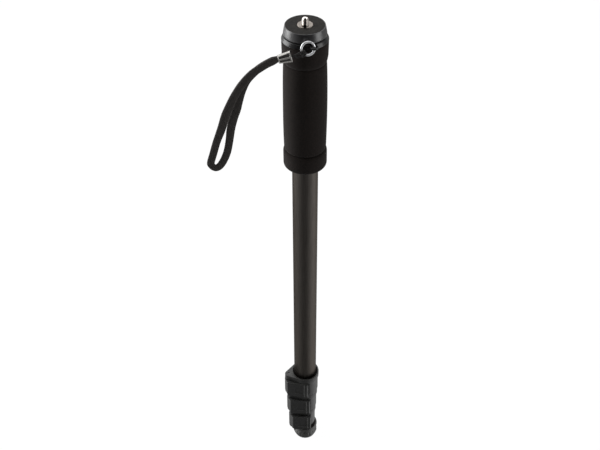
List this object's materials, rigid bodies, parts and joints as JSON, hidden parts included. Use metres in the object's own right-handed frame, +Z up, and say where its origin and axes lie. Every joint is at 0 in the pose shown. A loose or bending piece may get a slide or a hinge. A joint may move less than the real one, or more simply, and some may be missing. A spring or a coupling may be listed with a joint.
{
  "type": "camera monopod",
  "caption": "Folding camera monopod: screw platform, foam grip with wrist strap, telescoping tubes with flip locks and a rubber foot.",
  "frame": {"origin": "centre of the rubber foot's sole, on the ground", "axes": "+Z up the leg to the camera screw, -Y to the front that the levers face, +X to the right seen from the front"},
  "size_m": [0.1104, 0.0486, 0.5664],
  "materials": {
    "nickel": "polished",
    "pad_rubber": "matte",
    "black_plate": "gloss",
    "black_gloss": "gloss",
    "steel": "satin",
    "rivet_alloy": "satin",
    "black_foam": "matte",
    "black_cord": "matte",
    "bronze_tube": "satin",
    "white_bush": "matte",
    "black_satin": "satin",
    "foot_rubber": "matte"
  },
  "bodies": {
    "upper": {"camera_screw": "nickel", "top_pad": "pad_rubber", "mounting_plate": "black_plate", "head_cap": "black_gloss", "head_nut": "steel", "head_rivets": "rivet_alloy", "foam_grip": "black_foam", "upper_tube": "bronze_tube", "lock_collar_1": "black_satin", "lock_pin_1": "steel", "collar_screw_1": "steel"},
    "strap": {"split_ring": "nickel", "strap_cord": "black_cord", "strap_ferrule": "nickel", "strap_loop": "black_cord"},
    "lever_1": {"lock_lever_1": "black_satin"},
    "shoe_1": {"brake_shoe_1": "white_bush"},
    "bush_2": {"guide_bush_2": "white_bush"},
    "section_2": {"second_tube": "bronze_tube", "lock_collar_2": "black_satin", "lock_pin_2": "steel", "collar_screw_2": "steel"},
    "lever_2": {"lock_lever_2": "black_satin"},
    "shoe_2": {"brake_shoe_2": "white_bush"},
    "bush_3": {"guide_bush_3": "white_bush"},
    "section_3": {"third_tube": "bronze_tube", "lock_collar_3": "black_satin", "lock_pin_3": "steel", "collar_screw_3": "steel"},
    "lever_3": {"lock_lever_3": "black_satin"},
    "shoe_3": {"brake_shoe_3": "white_bush"},
    "bush_4": {"guide_bush_4": "white_bush"},
    "section_4": {"fourth_tube": "bronze_tube", "foot_plug": "black_satin", "rubber_foot": "foot_rubber"}
  },
  "joints": [
    {"name": "strap_swing", "type": "hinge", "parent": "upper", "child": "strap", "pos_m": [0.00792, -0.02117, 0.55], "axis": [0, 0, 1], "range_deg": [0, 170]},
    {"name": "lever_1_flip", "type": "hinge", "parent": "upper", "child": "lever_1", "pos_m": [-0.01884, -0.00505, 0.096], "axis": [0, 0, -1], "range_deg": [0, 130]},
    {"name": "shoe_1_press", "type": "slide", "parent": "upper", "child": "shoe_1", "axis": [-0.9659, -0.2588, 0], "range_m": [0, 0.0004]},
    {"name": "section_2_slide", "type": "slide", "parent": "upper", "child": "bush_2", "axis": [0, 0, -1], "range_m": [0, 0.38]},
    {"name": "section_2_turn", "type": "hinge", "parent": "bush_2", "child": "section_2", "pos_m": [0, 0, 0.0995], "axis": [0, 0, 1], "continuous": true},
    {"name": "lever_2_flip", "type": "hinge", "parent": "section_2", "child": "lever_2", "pos_m": [-0.01657, -0.00703, 0.0655], "axis": [0, 0, -1], "range_deg": [0, 130]},
    {"name": "shoe_2_press", "type": "slide", "parent": "section_2", "child": "shoe_2", "axis": [-0.9205, -0.3907, 0], "range_m": [0, 0.0004]},
    {"name": "section_3_slide", "type": "slide", "parent": "section_2", "child": "bush_3", "axis": [0, 0, -1], "range_m": [0, 0.3915]},
    {"name": "section_3_turn", "type": "hinge", "parent": "bush_3", "child": "section_3", "pos_m": [0, 0, 0.069], "axis": [0, 0, 1], "continuous": true},
    {"name": "lever_3_flip", "type": "hinge", "parent": "section_3", "child": "lever_3", "pos_m": [-0.01457, -0.00775, 0.035], "axis": [0, 0, -1], "range_deg": [0, 130]},
    {"name": "shoe_3_press", "type": "slide", "parent": "section_3", "child": "shoe_3", "axis": [-0.8829, -0.4695, 0], "range_m": [0, 0.0004]},
    {"name": "section_4_slide", "type": "slide", "parent": "section_3", "child": "bush_4", "axis": [0, 0, -1], "range_m": [0, 0.403]},
    {"name": "section_4_turn", "type": "hinge", "parent": "bush_4", "child": "section_4", "pos_m": [0, 0, 0.0385], "axis": [0, 0, 1], "continuous": true}
  ],
  "couplings": [
    {"joint": "shoe_1_press", "follows": "lever_1_flip", "m_per_rad": 0.000176},
    {"joint": "shoe_2_press", "follows": "lever_2_flip", "m_per_rad": 0.000176},
    {"joint": "shoe_3_press", "follows": "lever_3_flip", "m_per_rad": 0.000176}
  ]
}
